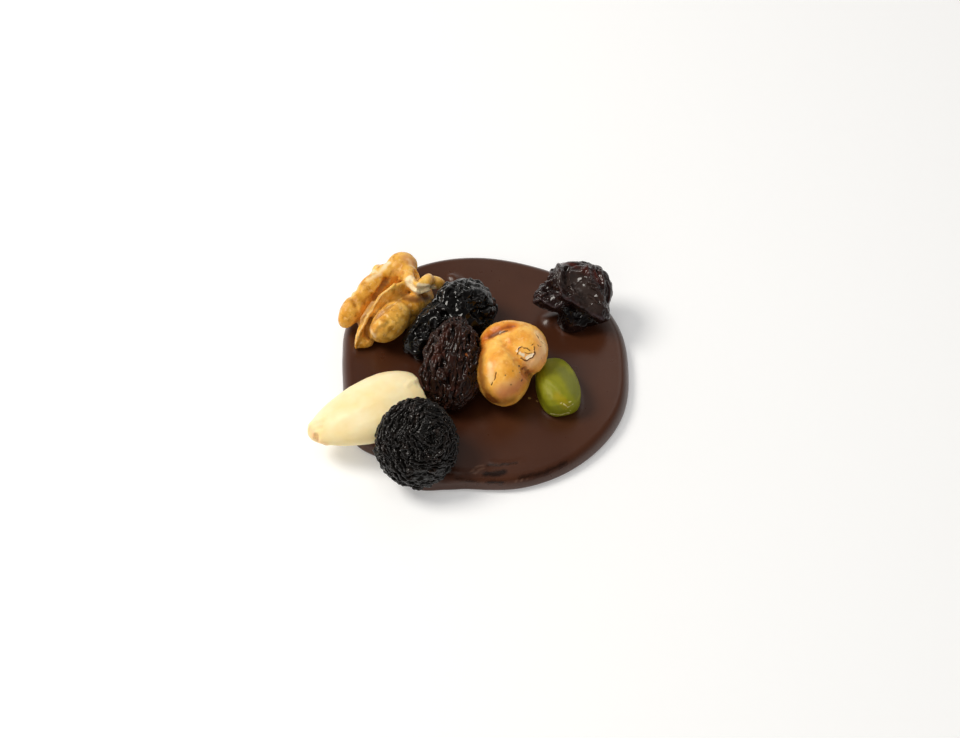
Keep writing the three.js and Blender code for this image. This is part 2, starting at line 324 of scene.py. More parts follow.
def strokeField(tree, place, piece, strokes, unevenness):
    # adds up strokes: (path of pixels, reach in mm, strength), each fading from its path to its reach
    noise = addNode(tree, "ShaderNodeTexNoise", {"Scale": strokeWaves, "Detail": 2}, {"Vector": place})
    shift = addNode(tree, "ShaderNodeVectorMath",
                    {"operation": "MULTIPLY_ADD", 1: (unevenness * mm,) * 3, 2: (-unevenness / 2 * mm,) * 3},
                    {0: noise.outputs["Color"]})
    shaken = addNode(tree, "ShaderNodeVectorMath", {"operation": "ADD"},
                     {0: addNode(tree, "GeometryNodeInputPosition"), 1: shift})
    total, guides = None, []
    for number, (pixels, reach, strength) in enumerate(strokes):
        guides.append(guideLine(piece, f"{piece.name}Guide{number}", pixels))
        seen = addNode(tree, "GeometryNodeObjectInfo", {"transform_space": "RELATIVE", "Object": guides[-1]})
        wire = addNode(tree, "GeometryNodeCurveToMesh", links={0: seen.outputs["Geometry"]})
        near = addNode(tree, "GeometryNodeProximity", {"target_element": "EDGES"},
                       {0: wire, "Sample Position": shaken})
        fade = addNode(tree, "ShaderNodeMapRange",
                       {"interpolation_type": "SMOOTHSTEP", "From Max": reach * mm,
                        "To Min": strength, "To Max": 0}, {"Value": near.outputs["Distance"]})
        if total is None:
            total = fade
        else:
            total = addNode(tree, "ShaderNodeMath", {"operation": "ADD"}, {0: total, 1: fade})
    return total, guides


def dropped(guides):
    for guide in guides:
        bpy.data.curves.remove(guide.data)


def carved(piece, strokes, unevenness=0.5):
    # named strokes with a depth in mm: below zero they sink a furrow, above it they raise a ridge
    tree, geometry, place = reliefTree(piece.name + "Carving")
    field, guides = strokeField(tree, place, piece, strokes.values(), unevenness)
    normal = addNode(tree, "GeometryNodeBlurAttribute", {"data_type": "FLOAT_VECTOR", "Iterations": 6},
                     {"Value": addNode(tree, "GeometryNodeInputNormal")})
    height = addNode(tree, "ShaderNodeMath", {"operation": "MULTIPLY", 1: mm}, {0: field})
    raisedBy(piece, tree, geometry, normal, height)
    dropped(guides)


def marked(piece, name, strokes, unevenness=0.8):
    # strokes kept on the mesh as a named value, for the colours
    tree, geometry, place = reliefTree(piece.name + "Marking")
    field, guides = strokeField(tree, place, piece, strokes, unevenness)
    shapedBy(piece, tree, kept(tree, geometry, name, field))
    dropped(guides)


def hollowsMarked(piece):
    # keeps how far each point lies below the skin around it, in mm, for the colours, which lay painted shade
    # into hollows and creases
    tree, geometry, place = reliefTree(piece.name + "Hollows")
    normal = addNode(tree, "GeometryNodeInputNormal")
    for name, steps in (("hollow", 4), ("valley", 40)):  # looking this many edges around
        around = addNode(tree, "GeometryNodeBlurAttribute",
                         {"data_type": "FLOAT_VECTOR", "Iterations": steps}, {"Value": place})
        above = addNode(tree, "ShaderNodeVectorMath", {"operation": "SUBTRACT"}, {0: around, 1: place})
        depth = addNode(tree, "ShaderNodeVectorMath", {"operation": "DOT_PRODUCT"}, {0: above, 1: normal})
        geometry = kept(tree, geometry, name, depth.outputs["Value"])
    shapedBy(piece, tree, geometry)


def roughened(piece, layers):
    # plain noise relief: (size, depth) in mm for each layer, and a seed
    for number, (size, depth, seed) in enumerate(layers):
        tree, geometry, place = reliefTree(f"{piece.name}Relief{number}")
        noise = addNode(tree, "ShaderNodeTexNoise",
                        {"noise_dimensions": "4D", "W": seed, "Scale": 1 / size, "Detail": 2},
                        {"Vector": place})
        height = addNode(tree, "ShaderNodeMath",
                         {"operation": "MULTIPLY_ADD", 1: 2 * depth * mm, 2: -depth * mm}, {0: noise})
        raisedBy(piece, tree, geometry, addNode(tree, "GeometryNodeInputNormal"), height)


def castFrom(node, name, grain, easing):
    # a fine even skin over a CAD solid: grain is its mesh size in mm, easing how often it is smoothed
    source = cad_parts[node]
    piece = bpy.data.objects.new(name, source.data.copy())
    bpy.context.scene.collection.objects.link(piece)
    piece.data.materials.clear()
    cleaned(piece)
    applied(piece, "REMESH", {"mode": "VOXEL", "voxel_size": grain * mm, "use_smooth_shade": True})
    applied(piece, "SMOOTH", {"factor": 0.5, "iterations": easing})
    applied(piece, "SUBSURF", {"levels": 1, "render_levels": 1})
    return piece


def finished(piece, node, material):
    # smooth shading, material and place in the frame
    selectOnly(piece)
    bpy.ops.object.shade_smooth()
    piece.data.materials.clear()
    piece.data.materials.append(material)
    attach(piece, "root")
    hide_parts(node)
    print(piece.name, len(piece.data.polygons), "faces")


# colour tools

def laidOver(tree, colour, cover, tone):
    # a tone over a colour, as far as the cover goes
    return addNode(tree, "ShaderNodeMix", {"data_type": "RGBA", "B": linear(tone)},
                   {"Factor": cover, "A": colour})


def clouded(tree, place, clouds):
    # two tones that drift into each other over patches of the given size in mm
    cloud = addNode(tree, "ShaderNodeTexNoise",
                    {"noise_dimensions": "4D", "W": 0.0, "Scale": 1 / clouds["size"], "Detail": 3},
                    {"Vector": place})
    share = addNode(tree, "ShaderNodeMapRange", {"From Min": 0.35, "From Max": 0.65}, {"Value": cloud})
    return blended(tree, share, clouds["dark"], clouds["light"])


def painted(tree, colour, coats):
    # coats over a colour: (value on the mesh, where it starts, where it covers, colour)
    for name, start, full, coat in coats:
        mark = addNode(tree, "ShaderNodeAttribute", {"attribute_name": name})
        cover = addNode(tree, "ShaderNodeMapRange", {"From Min": start, "From Max": full},
                        {"Value": mark.outputs["Fac"]})
        colour = laidOver(tree, colour, cover, coat)
    return colour


def mottled(tree, place, colour, patch):
    # patches of another tone, of the given size in mm, where a noise rises over its start
    noise = addNode(tree, "ShaderNodeTexNoise",
                    {"noise_dimensions": "4D", "W": patch["seed"], "Scale": 1 / patch["size"], "Detail": 4,
                     "Roughness": 0.6}, {"Vector": place})
    cover = addNode(tree, "ShaderNodeMapRange",
                    {"From Min": patch["start"], "From Max": patch["start"] + 0.14,
                     "To Max": patch["strength"]}, {"Value": noise})
    return laidOver(tree, colour, cover, patch["tone"])


def speckled(tree, place, colour, frecklesAndGlints):
    # small round spots, freckles on the hazelnut and painted glints on the walnut: how far apart in mm, and
    # how much of each cell they fill
    cells = addNode(tree, "ShaderNodeTexVoronoi",
                    {"voronoi_dimensions": "4D", "W": frecklesAndGlints["seed"], "Scale": 1 / frecklesAndGlints["apart"]},
                    {"Vector": place})
    cover = addNode(tree, "ShaderNodeMapRange",
                    {"From Min": frecklesAndGlints["share"], "From Max": frecklesAndGlints["share"] * 0.6}, {"Value": cells})
    return laidOver(tree, colour, cover, frecklesAndGlints["tone"])


# In the settings below, a stroke is a path over the photograph in its pixels, with its reach in mm and its
# depth in mm or strength. A coat is a mark, the values where it starts and where it covers, and its colour.
# Scraps are coats that lie over the freckles and painted glints.

# dark chocolate round

chocolate = {
    "thickness": 3.1,
    "reach": 25.0,       # mean radius of the rim
    "foot": 24.5,        # and of the underside
    "edgeRun": 1.7,      # how far in from the rim the top starts to fall away
    "lipHeight": 0.8,    # where the rim is widest
    "edgeAngles": (-50, -30, -10, 5, 20, 33, 45, 57, 68, 79, 90),  # steps up the rounded edge
    "segments": 336,
    "rings": 84,
    "swell": 0.22,       # height of the slow waves of the poured top
    "swellRun": (6.5, 7.5),
    "swellStart": (0.6, -0.4),
    "wetRise": 0.2,      # how far it stands up against a topping
    "wetReach": 0.9,     # and how far from it that starts
    "wetFrom": 1.6,      # heights between which it takes hold
    "wetTo": 2.9,
    # bearing from +X in degrees and radius in mm along the poured rim
    "rim": [(0, 25.1), (22, 25.7), (45, 25.7), (72, 25.3), (97, 25.9), (118, 26.5), (140, 26.9),
            (158, 26.8), (173, 25.5), (188, 25.2), (204, 26.6), (216, 27.2), (229, 25.7), (244, 27.6),
            (255, 26.0), (264, 25.1), (285, 25.5), (315, 25.6), (338, 25.6)],
    "carving": {
        "drawnUpByCherry": ([(551, 320), (559, 317)], 2.4, 0.75),
        "drawnUpByRaisin": ([(452, 277), (456, 279)], 1.2, 0.42),
        "frontDip": ([(447, 470), (466, 473), (486, 470)], 0.9, -0.1),
        "middleDip": ([(492, 462), (508, 463), (522, 460)], 0.8, -0.08),
        "frontRipple": ([(452, 478), (475, 481), (520, 478)], 0.8, 0.1),
    },
    "marks": {
        "smear": [([(487, 465), (500, 465), (516, 463)], 0.5, 0.7),
                  ([(486, 474), (496, 474), (504, 472)], 0.9, 1.0),
                  ([(456, 478), (466, 480), (477, 483)], 0.5, 0.6), ([(488, 482), (503, 483)], 0.6, 0.8),
                  ([(520, 478), (545, 472), (566, 463)], 0.7, 0.7)],
        "scuff": [([(471, 472), (476, 467), (483, 465)], 0.35, 1.0),
                  ([(474, 474), (480, 470), (484, 468)], 0.35, 0.9), ([(515, 481)], 0.35, 0.9),
                  ([(522, 481)], 0.4, 1.0), ([(527, 480)], 0.35, 0.9), ([(468, 478)], 0.35, 1.0)],
        "crumb": [([(530, 399)], 0.34, 1.0), ([(537, 401)], 0.34, 1.0)],
    },
    "tones": [(0.35, "#3f2011"), (0.68, "#482716")],
    "coats": [("smear", 0.0, 0.8, "#1c0a03"), ("scuff", 0.1, 1.4, "#7a5a48"), ("crumb", 0.2, 0.7, "#c8a860")],
    "roughness": (0.25, 0.33),
    "smearGloss": 0.08,  # how much smoother a smear is
}


def rimRadius(bearing):
    # distance from the middle to the poured rim, eased through the outline
    rim = chocolate["rim"]
    angle, count = bearing % 360, len(rim)
    last = max(i for i in range(count) if rim[i][0] <= angle)
    near = [(rim[i % count][0] + 360 * (i // count), rim[i % count][1]) for i in range(last - 1, last + 3)]
    (a, ra), (b, rb), (c, rc), (d, rd) = near
    t = (angle - b) / (c - b)
    slopeIn, slopeOut = (rc - ra) / (c - a) * (c - b), (rd - rb) / (d - b) * (c - b)
    return ((2 * t ** 3 - 3 * t ** 2 + 1) * rb + (t ** 3 - 2 * t ** 2 + t) * slopeIn
            + (3 * t ** 2 - 2 * t ** 3) * rc + (t ** 3 - t ** 2) * slopeOut)


def chocolateMaterial():
    # tempered dark couverture, set in the air: satin, a soft sheen, faintly cloudy brown
    material, tree, shader, place = newMaterial("darkChocolate")
    cloud = addNode(tree, "ShaderNodeTexNoise", {"Scale": 0.07, "Detail": 3, "Roughness": 0.55},
                    {"Vector": place})
    tone = addNode(tree, "ShaderNodeValToRGB", links={"Fac": cloud})
    for stop, (where, code) in zip(tone.color_ramp.elements, chocolate["tones"]):
        stop.position, stop.color = where, linear(code)
    feed(tree, shader, "Base Color", painted(tree, tone, chocolate["coats"]))
    matt = addNode(tree, "ShaderNodeTexNoise", {"Scale": 0.35, "Detail": 4}, {"Vector": place})
    smooth, dull = chocolate["roughness"]
    gloss = addNode(tree, "ShaderNodeMapRange", {"To Min": smooth, "To Max": dull}, {"Value": matt})
    worn = addNode(tree, "ShaderNodeAttribute", {"attribute_name": "smear"})
    shiny = addNode(tree, "ShaderNodeMath", {"operation": "MULTIPLY_ADD", 1: -chocolate["smearGloss"]},
                    {0: worn.outputs["Fac"], 2: gloss})
    feed(tree, shader, "Roughness", shiny)
    grain = addNode(tree, "ShaderNodeTexNoise", {"Scale": 1.6, "Detail": 3}, {"Vector": place})
    bump = addNode(tree, "ShaderNodeBump", {"Strength": 0.06, "Distance": 0.1 * mm}, {"Height": grain})
    feed(tree, shader, "Normal", bump)
    setOn(shader, {"IOR": 1.46})
    return material


def edgeProfile():
    # (radius, height) in mm up the rounded edge, from under the lip to the top
    profile = []
    for angle in chocolate["edgeAngles"]:
        rise = chocolate["lipHeight"] if angle < 0 else chocolate["thickness"] - chocolate["lipHeight"]
        profile.append((chocolate["reach"] - chocolate["edgeRun"] * (1 - math.cos(math.radians(angle))),
                        chocolate["lipHeight"] + rise * math.sin(math.radians(angle))))
    return profile


def pouredRound():
    # a disc drawn up along its edge and in over its top, then pushed out to the poured rim
    deselect()
    bpy.ops.mesh.primitive_circle_add(vertices=chocolate["segments"], radius=chocolate["foot"] * mm,
                                      fill_type="NGON")
    piece = bpy.context.object
    piece.name = "chocolateRound"
    reach, rings, top = chocolate["reach"], chocolate["rings"], chocolate["thickness"]
    flat = reach - chocolate["edgeRun"]
    profile = edgeProfile() + [(flat * step / rings, top) for step in range(rings - 1, 0, -1)]
    bpy.ops.object.mode_set(mode="EDIT")
    bpy.ops.mesh.select_all(action="SELECT")
    radius, height = chocolate["foot"], 0.0
    for nextRadius, nextHeight in profile:
        bpy.ops.mesh.extrude_region_move(TRANSFORM_OT_translate={"value": (0, 0, (nextHeight - height) * mm)})
        grow = nextRadius / radius
        bpy.ops.transform.resize(value=(grow, grow, 1), center_override=(0, 0, nextHeight * mm))
        radius, height = nextRadius, nextHeight
    bpy.ops.mesh.poke()
    bpy.ops.mesh.select_all(action="DESELECT")
    bpy.ops.object.mode_set(mode="OBJECT")
    (runX, runY), (startX, startY) = chocolate["swellRun"], chocolate["swellStart"]
    for vertex in piece.data.vertices:
        x, y, z = vertex.co / mm
        push = rimRadius(math.degrees(math.atan2(y, x))) / reach
        x, y = x * push, y * push
        if z > chocolate["lipHeight"]:
            z += chocolate["swell"] * math.sin(x / runX + startX) * math.cos(y / runY + startY) * z / top
        vertex.co = Vector((x, y, z)) * mm
    cleaned(piece)
    return piece


def wetAgainstToppings(piece):
    # the chocolate wets each topping and stands up against it a little
    tree, geometry, place = reliefTree("chocolateWetting")
    toppings = addNode(tree, "GeometryNodeJoinGeometry")
    for name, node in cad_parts.items():
        if name != "chocolate_disc":
            seen = addNode(tree, "GeometryNodeObjectInfo", {"transform_space": "RELATIVE", "Object": node})
            feed(tree, toppings, 0, seen.outputs["Geometry"])
    near = addNode(tree, "GeometryNodeProximity", {"target_element": "FACES"}, {0: toppings})
    creep = addNode(tree, "ShaderNodeMapRange",
                    {"interpolation_type": "SMOOTHERSTEP", "From Max": chocolate["wetReach"] * mm,
                     "To Min": chocolate["wetRise"] * mm, "To Max": 0.0}, {"Value": near.outputs["Distance"]})
    apart = addNode(tree, "ShaderNodeSeparateXYZ", links={0: place})
    top = addNode(tree, "ShaderNodeMapRange",
                  {"From Min": chocolate["wetFrom"], "From Max": chocolate["wetTo"]},
                  {"Value": apart.outputs["Z"]})
    rise = addNode(tree, "ShaderNodeMath", {"operation": "MULTIPLY"}, {0: creep, 1: top})
    lift = addNode(tree, "ShaderNodeCombineXYZ", links={"Z": rise})
    movedBy(piece, tree, geometry, lift)


def makeChocolate():
    piece = pouredRound()
    wetAgainstToppings(piece)
    carved(piece, chocolate["carving"])
    for mark, strokes in chocolate["marks"].items():
        marked(piece, mark, strokes)
    finished(piece, "chocolate_disc", chocolateMaterial())


makeChocolate()


# nut kernels

nutFlesh = {
    "ior": 1.46,
    "shine": 0.35,
    "glowReach": (1.0, 0.6, 0.25),  # how far red, green and blue light travel in the flesh
    "glowDepth": 0.9,
}


def kernelMaterial(name, kernel):
    # a kernel's colours, then how satin it is, how much light it lets in, and the grain of its skin in mm
    material, tree, shader, place = newMaterial(name)
    flesh = kernel["flesh"]
    colour = clouded(tree, place, kernel["clouds"])
    for patch in kernel["patches"]:
        colour = mottled(tree, place, colour, patch)
    colour = painted(tree, colour, kernel["coats"])
    for frecklesAndGlints in kernel["frecklesAndGlints"]:
        colour = speckled(tree, place, colour, frecklesAndGlints)
    feed(tree, shader, "Base Color", painted(tree, colour, kernel["scraps"]))
    skin = addNode(tree, "ShaderNodeTexNoise", {"Scale": 1 / flesh["grain"], "Detail": 4, "Roughness": 0.6},
                   {"Vector": place})
    bump = addNode(tree, "ShaderNodeBump", {"Strength": flesh["bump"], "Distance": 0.1 * mm},
                   {"Height": skin})
    feed(tree, shader, "Normal", bump)
    setOn(shader, {"Roughness": flesh["roughness"], "IOR": nutFlesh["ior"],
                   "Specular IOR Level": nutFlesh["shine"], "Subsurface Weight": flesh["glow"],
                   "Subsurface Radius": nutFlesh["glowReach"],
                   "Subsurface Scale": nutFlesh["glowDepth"] * mm})
    return material


def makeKernel(node, name, kernel, material):
    piece = castFrom(node, name, kernel["grain"], kernel["easing"])
    roughened(piece, kernel["relief"])
    for strokes in kernel["carving"]:
        carved(piece, strokes)
    hollowsMarked(piece)
    for mark, strokes in kernel["marks"].items():
        marked(piece, mark, strokes)
    finished(piece, node, material)


# blanched almond

almond = {
    "grain": 0.3,
    "easing": 6,
    "relief": [(6.0, 0.14, 1.0), (2.2, 0.03, 2.0)],
    "carving": [{
        "tipDent": ([(419, 384)], 1.3, -0.22),
        "tipFold": ([(421, 377), (411, 381), (407, 386)], 0.8, 0.14),
        "topRidge": ([(330, 420), (360, 404), (390, 391)], 2.6, 0.12),
        "sideHollow": ([(338, 430), (370, 414), (398, 403)], 1.6, -0.06),
    }, {
        "rootNotch": ([(317, 442), (316, 436)], 0.8, -0.75),
        "rootShoulder": ([(311, 425), (317, 421), (324, 419)], 0.7, 0.2),
        "rootCrease": ([(314, 430), (322, 427)], 0.6, -0.16),
        "rootLip": ([(321, 441), (331, 447)], 0.9, 0.18),
    }],
    "marks": {
        "skin": [([(309, 430), (314, 436)], 1.4, 1.0), ([(319, 441), (331, 447)], 1.1, 0.8)],
        "root": [([(316, 438)], 0.4, 0.9)],
    },
    "clouds": {"size": 4.5, "dark": "#f4dda2", "light": "#fbebc0"},
    "patches": [],
    # the first coat lays painted shade into the hollows
    "coats": [("valley", 0.05, 0.4, "#e6c88a"), ("skin", 0.15, 1.2, "#f0c692"),
              ("root", 0.3, 1.0, "#deb07c")],
    "frecklesAndGlints": [],
    "scraps": [],
    "flesh": {"roughness": 0.42, "glow": 0.25, "grain": 1.2, "bump": 0.1},
}


def almondMaterial():
    # blanched kernel: waxy ivory that lets a little light in, peach where skin is left at the root, with
    # painted shade in its hollows
    return kernelMaterial("blanchedAlmond", almond)


makeKernel("almond", "almondKernel", almond, almondMaterial())


# peeled pistachio

pistachio = {
    "grain": 0.17,
    "easing": 5,
    "relief": [(3.0, 0.1, 4.0)],
    "carving": [{
        "flatFace": ([(561, 371), (566, 379), (571, 388)], 1.5, -0.12),
        "sideRidge": ([(547, 379), (556, 385), (566, 398)], 0.8, 0.12),
        "frontCrease": ([(558, 402), (566, 405), (574, 404)], 0.4, -0.06),
    }],
    "marks": {
        # sheen is a painted reflection on the flat face; the lit lower left side and the gleam below it are
        # painted light and a painted highlight
        "sheen": [([(563, 370), (570, 381), (574, 392)], 1.9, 1.0)],
        "bright": [([(547, 383), (551, 388), (555, 394)], 1.1, 1.0)],
        "gleam": [([(545, 386), (549, 391), (552, 396)], 0.45, 1.0)],
        "yellow": [([(557, 396), (562, 401), (566, 405)], 1.4, 1.1)],
        "fibre": [([(557, 401), (560, 404), (562, 402)], 0.16, 1.0),
                  ([(563, 405), (568, 407), (573, 404)], 0.16, 1.0),
                  ([(569, 402), (573, 399)], 0.14, 1.0), ([(566, 409), (571, 411)], 0.14, 1.0),
                  ([(551, 414), (560, 415), (569, 413)], 0.26, 0.9)],
        # painted shade along the lower left edge
        "deep": [([(538, 392), (545, 404), (551, 411)], 1.8, 0.7)],
    },
    "clouds": {"size": 3.5, "dark": "#7c7c10", "light": "#8e8e18"},
    "patches": [],
    # painted light and shade: the dark lower left coat, the grey sheen, the lit side and the gleam; the
    # yellow and the fibres are the kernel's own
    "coats": [("deep", 0.1, 1.0, "#5e6004"), ("sheen", 0.1, 0.9, "#70722c"), ("bright", 0.1, 1.0, "#8a8a14"),
              ("gleam", 0.2, 1.0, "#929024"), ("yellow", 0.1, 0.9, "#9a8c08")],
    "frecklesAndGlints": [],
    "scraps": [("fibre", 0.2, 0.8, "#d3ca88")],
    "flesh": {"roughness": 0.54, "glow": 0.2, "grain": 0.8, "bump": 0.1},
}


def pistachioMaterial():
    # peeled green kernel: moist satin and yellow where it is thin, with a painted reflection greying its flat
    # face, painted light and a painted highlight on its lower left side, and painted shade along its lower
    # left edge
    return kernelMaterial("peeledPistachio", pistachio)


makeKernel("pistachio", "pistachioKernel", pistachio, pistachioMaterial())


# roasted hazelnut

hazelnut = {
    "grain": 0.2,
    "easing": 4,
    "relief": [(4.0, 0.2, 6.0), (1.5, 0.07, 7.0)],
    "carving": [{
        "topHollow": ([(487, 337), (497, 331), (511, 327)], 1.7, -0.6),
        "split": ([(503, 342), (513, 352), (519, 362), (524, 370)], 1.4, -0.4),
        "notch": ([(526, 371), (532, 377)], 1.3, -0.8),
        "rightCheek": ([(539, 369), (544, 362)], 1.3, 0.3),
        "topRim": ([(484, 341), (494, 341), (504, 343)], 0.6, 0.2),
    }, {
        "flakeTopEdge": ([(517, 354), (518, 348), (522, 347), (526, 348), (530, 350)], 0.3, 0.14),
        "flakeLowEdge": ([(521, 358), (526, 361), (532, 358), (535, 354), (534, 347)], 0.3, 0.14),
        "underFlake": ([(519, 352), (524, 356), (531, 358)], 0.9, -0.16),
        "crack": ([(496, 374), (495, 380), (491, 385)], 0.22, -0.12),
        "peelEdge": ([(489, 364), (492, 372), (491, 381)], 0.8, 0.07),
        "rightPeelEdge": ([(536, 334), (543, 341), (546, 350)], 0.5, 0.08),
    }],
    "marks": {
        "pink": [([(531, 362), (540, 356), (545, 346), (540, 336)], 2.4, 1.2),
                 ([(500, 390), (512, 384)], 2.0, 0.7)],
        # a darker orange, mostly in the top hollow and along the split: painted shade
        "orange": [([(485, 338), (497, 330), (513, 326)], 1.7, 1.2),
                   ([(503, 345), (514, 354), (524, 368)], 0.9, 0.5), ([(482, 342), (484, 352)], 1.2, 0.7)],
        "blush": [([(503, 395), (516, 389), (526, 376)], 2.6, 1.4),
                  ([(530, 372), (540, 369), (545, 358)], 1.6, 0.8)],
        "shade": [([(480, 352), (480, 372), (483, 388), (490, 398)], 2.4, 0.8),
                  ([(475, 352), (474, 374), (477, 392), (485, 404)], 2.6, 1.0),
                  ([(490, 400), (501, 403), (512, 400)], 2.0, 0.6),
                  ([(488, 407), (500, 411), (513, 406)], 2.2, 1.0)],
        "scorch": [([(490, 337), (499, 333)], 1.0, 1.1), ([(503, 329), (514, 326)], 0.5, 0.7),
                   ([(524, 368), (531, 376)], 0.7, 0.8)],
        "flake": [([(520, 353), (523, 355)], 0.6, 1.2), ([(527, 358), (533, 355)], 0.5, 1.2),
                  ([(500, 333), (504, 332)], 0.4, 0.7), ([(516, 351), (519, 347)], 0.4, 0.8)],
        "peeled": [([(489, 364), (491, 372), (491, 380)], 1.0, 1.0),
                   ([(537, 333), (542, 340), (545, 350)], 1.1, 1.0)],
        "rind": [([(517, 354), (518, 348), (522, 347), (526, 348), (530, 350)], 0.24, 1.0),
                 ([(521, 358), (526, 361), (532, 358), (535, 354), (534, 347)], 0.3, 1.0),
                 ([(524, 352), (528, 354), (534, 352)], 0.22, 0.9),
                 ([(496, 372), (495, 380), (491, 385)], 0.24, 1.0),
                 ([(529, 346), (534, 344), (541, 346)], 0.2, 0.9),
                 ([(535, 333), (539, 339), (543, 344)], 0.2, 0.9), ([(545, 345), (546, 352)], 0.2, 0.9),
                 ([(501, 333), (507, 331)], 0.3, 0.9), ([(519, 366)], 0.4, 1.0), ([(522, 369)], 0.4, 0.9),
                 ([(519, 373)], 0.36, 0.9), ([(525, 373)], 0.45, 1.0), ([(522, 380)], 0.45, 1.0),
                 ([(506, 375)], 0.36, 0.8), ([(528, 370)], 0.4, 0.9), ([(511, 385)], 0.36, 0.8),
                 ([(482, 395)], 0.4, 0.9)],
    },
    "clouds": {"size": 3.2, "dark": "#f0a438", "light": "#ffc560"},
    "patches": [{"size": 1.8, "tone": "#d9872e", "strength": 0.6, "seed": 2.0, "start": 0.5},
                {"size": 0.7, "tone": "#ffd283", "strength": 0.5, "seed": 3.0, "start": 0.54}],
    # the orange and valley coats are painted shade in the hollows and along the split
    "coats": [("pink", 0.1, 1.4, "#f4bd86"), ("blush", 0.1, 1.6, "#c8753e"), ("shade", 0.1, 0.9, "#7c4414"),
              ("orange", 0.1, 1.2, "#c8691c"), ("valley", 0.06, 0.4, "#c0752a"),
              ("peeled", 0.1, 1.2, "#ffd596"), ("scorch", 0.2, 1.2, "#5c3020")],
    "frecklesAndGlints": [{"apart": 1.7, "share": 0.17, "tone": "#82461a", "seed": 1.0},
                 {"apart": 0.9, "share": 0.14, "tone": "#a8662a", "seed": 4.0}],
    "scraps": [("flake", 0.3, 0.8, "#fae6c6"), ("rind", 0.3, 0.8, "#57300f")],
    "flesh": {"roughness": 0.4, "glow": 0.15, "grain": 0.9, "bump": 0.25},
}


def hazelnutMaterial():
    # roasted kernel: golden and slightly oily, with scorched patches, flakes of white skin and freckles, and
    # painted shade in its hollows and along its split
    return kernelMaterial("roastedHazelnut", hazelnut)


makeKernel("hazelnut", "hazelnutKernel", hazelnut, hazelnutMaterial())


# walnut piece

walnut = {
    "grain": 0.222,
    "easing": 18,
    "relief": [(3.4, 0.26, 11.0), (1.5, 0.06, 12.0), (0.7, 0.04, 13.0)],
    "carving": [{
        "lobe": ([(376, 330), (380, 327)], 2.2, 0.4),
        "aboveLobe": ([(376, 317), (384, 310), (393, 303)], 1.0, -0.6),
        "besideLobe": ([(372, 319), (367, 326), (367, 335), (372, 342), (380, 347)], 0.8, -0.7),
        "underHook": ([(409, 283), (415, 289), (425, 290), (433, 287)], 0.8, -0.4),
        "middleFurrow": ([(386, 281), (378, 293), (369, 306), (364, 316), (359, 325)], 1.0, -0.7),
        "leftFurrow": ([(342, 291), (352, 297), (357, 306)], 0.9, -0.4),
    }, {
        "innerWall": ([(400, 279), (391, 288), (382, 295), (375, 304), (369, 315), (364, 324),
                       (358, 336)], 0.45, 0.3),
        "hookRim": ([(412, 275), (409, 281), (412, 290), (420, 293), (428, 290)], 0.5, 0.15),
        "hookGap": ([(417, 272), (418, 279)], 0.8, -0.9),
        "leftPit": ([(411, 284), (413, 287)], 0.3, -0.12),
        "middlePit": ([(418, 289), (421, 291)], 0.3, -0.12),
        "crumb": ([(426, 288)], 0.3, 0.12),
    }],
    "marks": {
        "groove": [([(386, 281), (378, 293), (369, 306), (363, 318), (358, 326)], 1.3, 1.0),
                   ([(399, 301), (388, 308), (378, 316), (371, 326)], 0.8, 0.8),
                   ([(404, 296), (416, 299), (427, 297)], 1.2, 0.9)],
        "broken": [([(409, 279), (411, 286), (416, 291), (426, 291), (433, 288)], 1.6, 1.1),
                   ([(420, 285), (428, 286)], 0.9, 0.9), ([(372, 269), (376, 272)], 0.9, 0.7),
                   ([(384, 267), (388, 263)], 1.2, 0.9), ([(369, 357), (374, 355)], 0.7, 0.8)],
        # a painted highlight along the thin crest edge and the inner walls
        "edge": [([(391, 287), (382, 295), (375, 304), (369, 315), (364, 324), (358, 336),
                   (354, 346)], 0.35, 1.0),
                 ([(402, 298), (393, 304), (383, 311)], 0.3, 0.8), ([(402, 279), (396, 284)], 0.5, 0.6)],
        "blush": [([(406, 258), (412, 262)], 1.8, 1.0), ([(393, 270), (402, 273)], 0.8, 0.5)],
        # painted highlights on the lobes and below the knob
        "cream": [([(370, 330), (374, 336)], 0.9, 0.7), ([(386, 265), (378, 274), (368, 280)], 0.9, 0.8),
                  ([(358, 288), (352, 296)], 0.7, 0.5), ([(412, 252), (416, 258)], 0.8, 0.5)],
        # painted shade in the deepest furrows, under the hook and beside the lobe
        "deep": [([(404, 299), (418, 300), (430, 298)], 1.1, 1.0), ([(356, 330), (353, 343)], 0.9, 0.9),
                 ([(388, 322), (378, 328), (372, 340)], 0.7, 0.7)],
    },
    "clouds": {"size": 2.6, "dark": "#d6942c", "light": "#fbc65e"},
    "patches": [{"size": 1.3, "tone": "#b4741a", "strength": 0.75, "seed": 5.0, "start": 0.5},
                {"size": 0.7, "tone": "#ffdf9c", "strength": 0.45, "seed": 6.0, "start": 0.53}],
    # the valley coat and the darkest coat are painted shade, the cream and edge coats painted highlights;
    # groove, blush and broken are the kernel's own
    "coats": [("valley", 0.03, 0.3, "#a66e2c"), ("groove", 0.1, 1.2, "#a8743e"),
              ("deep", 0.1, 1.2, "#6e4012"), ("blush", 0.1, 1.2, "#d08c58"), ("cream", 0.1, 1.1, "#ffe6b4"),
              ("edge", 0.3, 1.1, "#f0c884"), ("broken", 0.35, 0.9, "#f8e2b8")],
    # tiny white spots that are painted glints
    "frecklesAndGlints": [{"apart": 0.9, "share": 0.11, "tone": "#fff0cc", "seed": 7.0}],
    "scraps": [],
    "flesh": {"roughness": 0.36, "glow": 0.12, "grain": 0.6, "bump": 0.6},
}


def walnutMaterial():
    # shelled kernel: thin golden skin, browner in its furrows, white where it has broken, with painted shade
    # in its hollows and deepest furrows and painted highlights on its crest edge and lobes
    return kernelMaterial("walnutKernel", walnut)


